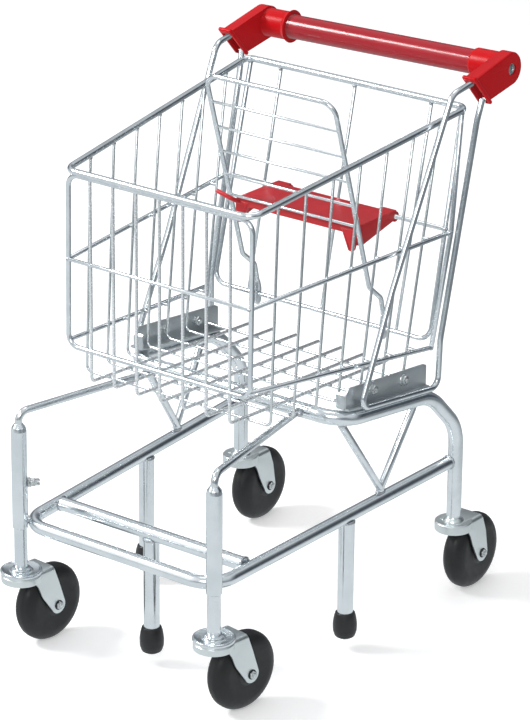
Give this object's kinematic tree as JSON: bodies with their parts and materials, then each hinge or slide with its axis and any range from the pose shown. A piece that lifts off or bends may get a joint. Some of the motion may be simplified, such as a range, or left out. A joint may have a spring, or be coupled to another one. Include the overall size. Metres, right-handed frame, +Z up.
{
  "type": "shopping cart",
  "caption": "Child-size wire shopping cart with swivel front casters, fixed rear casters, folding doll seat and a push handle.",
  "frame": {"origin": "centre of the bounding box footprint, on the floor under the tyres", "axes": "+X across the cart, to the right when facing its front; the front faces -Y and the handle is at +Y; +Z up"},
  "size_m": [0.3376, 0.4845, 0.5978],
  "materials": {
    "bright_zinc": "bright zinc plate",
    "plated_hardware": "zinc plated steel",
    "red_plastic": "semi-gloss moulded",
    "tyre_rubber": "satin",
    "foot_rubber": "matt",
    "hub_plastic": "matt"
  },
  "bodies": {
    "chassis": {"arm_rod_left": "bright_zinc", "arm_rod_right": "bright_zinc", "axle_bolt_rear_left": "plated_hardware", "axle_bolt_rear_right": "plated_hardware", "basket_bracket_left": "plated_hardware", "basket_bracket_right": "plated_hardware", "bracket_bolt_front_left": "plated_hardware", "bracket_bolt_front_right": "plated_hardware", "bracket_bolt_rear_left": "plated_hardware", "bracket_bolt_rear_right": "plated_hardware", "cap_screw_left": "plated_hardware", "cap_screw_right": "plated_hardware", "caster_fork_rear_left": "bright_zinc", "caster_fork_rear_right": "bright_zinc", "handle_cap_left": "red_plastic", "handle_cap_right": "red_plastic", "handle_tube": "red_plastic", "lower_rack_tube": "bright_zinc", "rack_cross_tube": "bright_zinc", "rear_panel": "bright_zinc", "set_screw_left": "plated_hardware", "set_screw_right": "plated_hardware", "side_hoop_left": "bright_zinc", "side_hoop_right": "bright_zinc", "swivel_sleeve_left": "bright_zinc", "swivel_sleeve_right": "bright_zinc", "tip_foot_center": "foot_rubber", "tip_foot_left": "foot_rubber", "tip_foot_right": "foot_rubber", "tip_leg_center": "bright_zinc", "tip_leg_left": "bright_zinc", "tip_leg_right": "bright_zinc", "upper_frame_tube": "bright_zinc", "v_brace_left": "bright_zinc", "v_brace_right": "bright_zinc", "wire_basket": "bright_zinc"},
    "caster_front_left": {"axle_bolt_front_left": "plated_hardware", "caster_fork_front_left": "bright_zinc"},
    "caster_front_right": {"axle_bolt_front_right": "plated_hardware", "caster_fork_front_right": "bright_zinc"},
    "seat_back": {"seat_back": "bright_zinc"},
    "seat_flap": {"seat_flap": "red_plastic"},
    "wheel_front_left": {"tyre_front_left": "tyre_rubber", "wheel_hub_front_left": "hub_plastic"},
    "wheel_front_right": {"tyre_front_right": "tyre_rubber", "wheel_hub_front_right": "hub_plastic"},
    "wheel_rear_left": {"tyre_rear_left": "tyre_rubber", "wheel_hub_rear_left": "hub_plastic"},
    "wheel_rear_right": {"tyre_rear_right": "tyre_rubber", "wheel_hub_rear_right": "hub_plastic"}
  },
  "joints": [
    {"name": "swivel_front_left", "type": "hinge", "parent": "chassis", "child": "caster_front_left", "pos_m": [-0.1274, -0.2204, 0.1], "axis": [0, 0, 1], "continuous": true},
    {"name": "wheel_spin_front_left", "type": "hinge", "parent": "caster_front_left", "child": "wheel_front_left", "pos_m": [-0.12417, -0.18354, 0.042], "axis": [0.9962, -0.0872, 0], "continuous": true},
    {"name": "wheel_spin_rear_left", "type": "hinge", "parent": "chassis", "child": "wheel_rear_left", "pos_m": [-0.1449, 0.2004, 0.042], "axis": [1, 0, 0], "continuous": true},
    {"name": "swivel_front_right", "type": "hinge", "parent": "chassis", "child": "caster_front_right", "pos_m": [0.1274, -0.2204, 0.1], "axis": [0, 0, 1], "continuous": true},
    {"name": "wheel_spin_front_right", "type": "hinge", "parent": "caster_front_right", "child": "wheel_front_right", "pos_m": [0.13255, -0.18376, 0.042], "axis": [0.9903, -0.1392, 0], "continuous": true},
    {"name": "wheel_spin_rear_right", "type": "hinge", "parent": "chassis", "child": "wheel_rear_right", "pos_m": [0.1449, 0.2004, 0.042], "axis": [1, 0, 0], "continuous": true},
    {"name": "seat_back_fold", "type": "hinge", "parent": "chassis", "child": "seat_back", "pos_m": [0, 0.1166, 0.307], "axis": [-1, 0, 0], "range_deg": [0, 29]},
    {"name": "seat_flap_fold", "type": "hinge", "parent": "chassis", "child": "seat_flap", "pos_m": [0, 0.1432, 0.4219], "axis": [1, 0, 0], "range_deg": [0, 50]}
  ]
}
